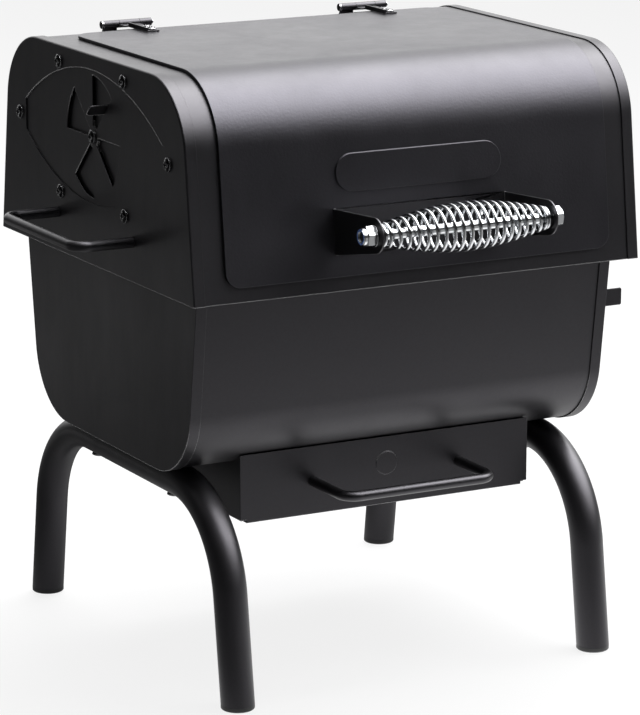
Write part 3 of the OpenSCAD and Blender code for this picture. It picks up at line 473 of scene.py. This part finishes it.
def spring():
    """The barrel-shaped grip: closed end turns, open turns that widen to the middle. At each
    point n turns have been wound, m of them closed."""
    low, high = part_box("handle_spring")
    length = high[0] - low[0] - WIRE_D
    centre = Vector(JOINT["grip_spin"]["pos_m"])
    closed = WIRE_D + COIL_GAP
    opened = (length - 2 * CLOSED_TURNS * closed) / (TURNS - 2 * CLOSED_TURNS)
    across = Vector((0.0, math.cos(LEAN), -math.sin(LEAN)))
    down = Vector((0.0, -math.sin(LEAN), -math.cos(LEAN)))
    path, ups = [], []
    for i in range(TURNS * STEPS_PER_TURN + 1):
        n = i / STEPS_PER_TURN
        m = min(n, CLOSED_TURNS) + max(0.0, n - TURNS + CLOSED_TURNS)
        along = m * closed + (n - m) * opened
        radius = END_R + (WIDE_R - END_R) * math.sin(math.pi * along / length)
        outward = math.cos(2 * math.pi * n) * down + math.sin(2 * math.pi * n) * across
        path.append(centre + Vector((along - length / 2, 0.0, 0.0)) + radius * outward)
        ups.append(outward)
    publish(sweep("handle_spring_wire", path, ups, WIRE_D / 2, WIRE_SIDES), "handle_spring")


NUT_EDGE = 0.3 * MM
NUT_SHARP_ANGLE = 25.0
RING_DEPTH = 0.05 * MM


def locknut():
    """The grip's nut, with the blue nylon ring showing in its collar."""
    obj = dress("handle_nut", NUT_EDGE, angle=NUT_SHARP_ANGLE, clamp=True)
    obj.data.materials.append(MATERIALS["nylon"])
    face_x = min(v.co.x for v in obj.data.vertices)
    for polygon in obj.data.polygons:
        if polygon.center.x < face_x + RING_DEPTH:
            polygon.material_index = 1


SHEET_EDGE = 0.5 * MM
CAP_BEND = 1.9 * MM
THIN_EDGE = 0.35 * MM
CAST_EDGE = 0.8 * MM
FASTENER_EDGE = 0.25 * MM
ROD_EDGE = 0.3 * MM
for name in (
    "tub_shell", "hood_shell", "vent_cover", "vent_disc", "lid_panel", "drawer_housing",
    "drawer_front", "cooking_ledges", "charcoal_ledges", "intake_shutter", "handle_bracket",
):
    dress(name, SHEET_EDGE)
for name in ("tub_end_left", "tub_end_right", "hood_end_left", "hood_end_right"):
    dress(name, SHEET_EDGE, pressed=CAP_BEND)
for name in (
    "hinge_lid_leaf_left", "hinge_lid_leaf_right", "hinge_hood_leaf_left",
    "hinge_hood_leaf_right", "ash_drawer",
):
    dress(name, THIN_EDGE, clamp=True)
for name in ("cooking_grate_left", "cooking_grate_right", "charcoal_grate"):
    dress(name, CAST_EDGE)
for name in (
    "rim_bolts", "rim_nuts", "vent_pivot_screw", "vent_pivot_nut", "vent_cover_screws",
    "vent_cover_nuts", "hinge_pins", "hinge_lid_screws", "hinge_hood_screws", "bracket_screws",
    "handle_bolt", "handle_washers", "side_handle_screws", "leg_bolts", "leg_nuts",
    "housing_screws", "drawer_handle_screws", "intake_screws", "leg_caps",
):
    dress(name, FASTENER_EDGE, clamp=True)
for name in ("side_handle_left", "side_handle_right", "drawer_handle"):
    dress(name, ROD_EDGE, clamp=True)
for name in ("leg_left", "leg_right"):
    dress(name)
locknut()
spring()


# ---------------------------------------------------------------- stage

FLOOR_RADIUS = 14.0
FLOOR_SIDES = 96
FLOOR_GLOW = 1.04
GLOW_SHARE = 0.8  # how much of the camera's floor is glow, the rest being matt


def floor_finish():
    """Pale floor: near white to the camera with a faint shadow. In the black paint it looks
    bright under the front, dark to the left and dim behind, with a paler band far back."""
    g = Finish("floor")
    mottled = g.noise(3.0, detail=3.0, rough=0.5)
    pale = g.mix(mottled, rgb(0.80, 0.80, 0.805), rgb(0.84, 0.84, 0.845))
    matt = g.add("BsdfDiffuse", {"Color": pale}).outputs[0]
    backing = g.add("Emission", {"Color": WHITE, "Strength": FLOOR_GLOW}).outputs[0]
    seen = g.blend(GLOW_SHARE, matt, backing)
    # Brightness against metres from the middle of the grill, X to the right and Y to the back.
    place = g.add("SeparateXYZ", {"Vector": g.coord})
    x, y = place.outputs["X"], place.outputs["Y"]
    front = g.remap(y, (-0.55, 0.9), (0.33, 0.0))
    rise = g.remap(y, (-0.62, -0.36), (0.0, 1.0))
    fall = g.remap(y, (-0.1, 0.4), (1.3, 0.0))
    near = g.math("MULTIPLY", rise, fall)
    side = g.remap(x, (-0.45, 0.05), (0.05, 1.0))
    rear = g.remap(y, (0.7, 1.3), (0.1, 0.42))
    back = g.math("MINIMUM", rear, g.remap(y, (1.4, 1.8), (0.42, 0.12)))
    lit = g.math("MULTIPLY", g.math("ADD", front, near), side)
    brightness = g.math("ADD", lit, back)
    glow = g.add("Emission", {"Color": WHITE, "Strength": brightness}).outputs[0]
    path = g.add("LightPath")
    direct = g.blend(path.outputs["Is Camera Ray"], matt, seen)
    return g.show(g.blend(path.outputs["Is Glossy Ray"], direct, glow))


def build_floor():
    bm = bmesh.new()
    bmesh.ops.create_circle(bm, cap_ends=True, segments=FLOOR_SIDES, radius=FLOOR_RADIUS)
    mesh = bpy.data.meshes.new("floor")
    bm.to_mesh(mesh)
    bm.free()
    mesh.materials.append(floor_finish())
    new_object("floor", mesh)


DARKEST = 0.045  # strength of the darkest part of the studio that the paint mirrors
FILL = 0.35  # of the even light on matt surfaces
BACKDROP = 1.1  # of the white that the camera sees


class Studio(Tree):
    """The node tree of the world round the object."""

    def __init__(self):
        super().__init__(bpy.data.worlds.new("studio"), "World", "Generated")

    def window(self, towards, inner, outer, strength):
        """Bright patch of sky round a direction, fading from inner to outer degrees."""
        match = self.dot(self.coord, Vector(towards).normalized())
        fade = (math.cos(math.radians(outer)), math.cos(math.radians(inner)))
        return self.remap(match, fade, (0.0, strength), interpolation_type="SMOOTHSTEP")

    def background(self, strength):
        return self.add("Background", {"Strength": strength}).outputs[0]


def build_world():
    """White to the camera; in the paint, a dark studio with a soft box overhead to the right
    and a dimmer bright wall behind the grill."""
    w = Studio()
    wall = w.window((0.45, 0.86, 0.38), inner=14.0, outer=52.0, strength=2.15)
    box = w.window((0.457, -0.13, 0.873), inner=5.0, outer=49.0, strength=15.5)
    sky = w.window((0.0, 0.1, 1.0), inner=0.0, outer=70.0, strength=0.5)
    total = DARKEST
    for patch in (wall, box, sky):
        total = w.math("ADD", patch, total)
    path = w.add("LightPath")
    shader = w.blend(path.outputs["Is Glossy Ray"], w.background(FILL), w.background(total))
    scene.world = w.show(w.blend(path.outputs["Is Camera Ray"], shader, w.background(BACKDROP)))


def aim(obj, place, target):
    """Puts a lamp or the camera at place, looking at target."""
    obj.location = place
    obj.rotation_euler = (Vector(target) - Vector(place)).to_track_quat("-Z", "Y").to_euler()


def area_light(name, place, target, size, power):
    """Soft lamp that neither the camera nor the paint's mirror image shows."""
    data = bpy.data.lights.new(name, "AREA")
    data.shape = "RECTANGLE"
    data.size, data.size_y = size
    data.energy = power
    obj = new_object(name, data)
    aim(obj, place, target)
    obj.visible_camera = False
    obj.visible_glossy = False


def build_camera():
    """The photograph's view of the grill."""
    data = bpy.data.cameras.new("camera")
    data.sensor_width = 36.0
    data.lens = 189.0
    data.shift_x = 0.0038
    data.shift_y = -0.0118
    data.clip_end = 60.0
    scene.camera = new_object("camera", data)
    aim(scene.camera, place=(-1.6389, -3.0398, 1.0826), target=(0.0032, 0.0365, 0.2683))


build_floor()
build_world()
build_camera()
area_light("overhead", place=(0.85, 0.5, 2.4), target=(0.2, 0.1, 0.5), size=(2.6, 1.7), power=130.0)
area_light("front_left", place=(-2.4, -2.0, 1.9), target=(0.0, 0.0, 0.3), size=(1.2, 1.2), power=5.0)
scene.view_settings.view_transform = "Standard"
